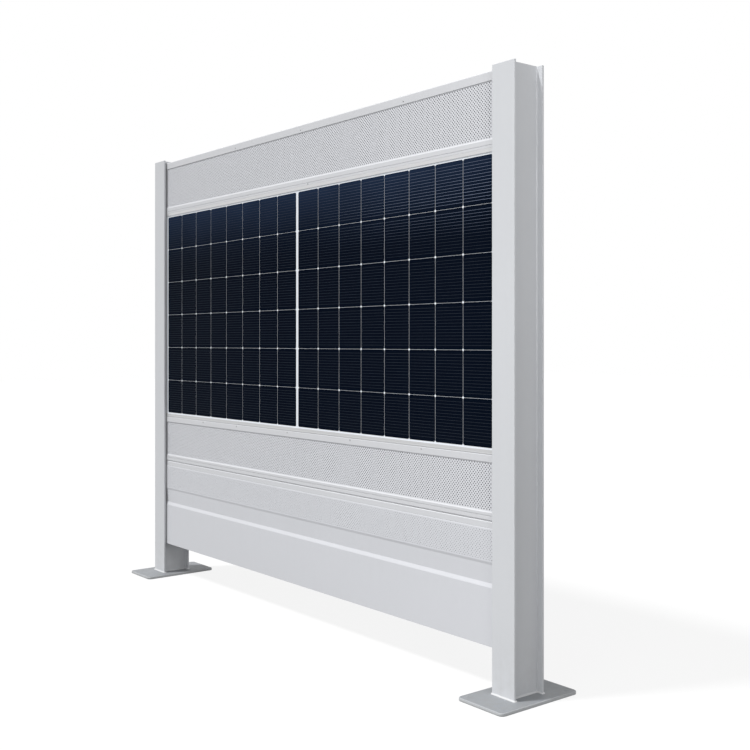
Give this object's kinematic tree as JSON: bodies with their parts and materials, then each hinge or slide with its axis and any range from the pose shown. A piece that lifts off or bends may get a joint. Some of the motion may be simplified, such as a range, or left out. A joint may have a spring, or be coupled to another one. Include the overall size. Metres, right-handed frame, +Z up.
{
  "type": "noise barrier section",
  "caption": "Single noise barrier bay: flanged box posts on base plates hold perforated absorber panels, a ribbed lower panel and a framed solar module.",
  "frame": {"origin": "on the ground, midway between the two posts and centred on their base plates", "axes": "+X along the bay to the right as seen from the front, +Y from front to back, +Z up"},
  "size_m": [2.93, 0.4, 2.32],
  "materials": {
    "post_paint": "satin light grey paint",
    "plate_paint": "satin grey paint",
    "weld_paint": "satin light grey paint over a weld bead",
    "rail_paint": "satin light grey powder coat",
    "front_sheet_paint": "satin light grey powder coat, perforated",
    "back_sheet_paint": "satin light grey powder coat",
    "absorber_wool": "dark fleece-faced mineral wool",
    "seal_rubber": "matte grey rubber",
    "module_frame": "light anodised",
    "module_laminate": "clear glass over dark blue cells on a white sheet",
    "junction_box": "black moulded plastic"
  },
  "bodies": {
    "root": {"left_base_plate": "plate_paint", "right_base_plate": "plate_paint", "left_post": "post_paint", "right_post": "post_paint", "left_post_cap": "post_paint", "right_post_cap": "post_paint", "left_foot_weld": "weld_paint", "right_foot_weld": "weld_paint", "left_front_seal": "seal_rubber", "left_back_seal": "seal_rubber", "right_front_seal": "seal_rubber", "right_back_seal": "seal_rubber", "lower_front_sheet": "front_sheet_paint", "lower_back_sheet": "back_sheet_paint", "lower_core": "absorber_wool", "lower_top_rail": "rail_paint", "lower_bottom_rail": "rail_paint", "lower_left_cap": "rail_paint", "lower_right_cap": "rail_paint", "middle_front_sheet": "front_sheet_paint", "middle_back_sheet": "back_sheet_paint", "middle_core": "absorber_wool", "middle_top_rail": "rail_paint", "middle_bottom_rail": "rail_paint", "middle_left_cap": "rail_paint", "middle_right_cap": "rail_paint", "upper_front_sheet": "front_sheet_paint", "upper_back_sheet": "back_sheet_paint", "upper_core": "absorber_wool", "upper_top_rail": "rail_paint", "upper_bottom_rail": "rail_paint", "upper_left_cap": "rail_paint", "upper_right_cap": "rail_paint", "module_top_frame": "module_frame", "module_bottom_frame": "module_frame", "module_left_frame": "module_frame", "module_right_frame": "module_frame", "module_laminate": "module_laminate", "junction_box_top": "junction_box", "junction_box_middle": "junction_box", "junction_box_bottom": "junction_box"}
  },
  "joints": []
}
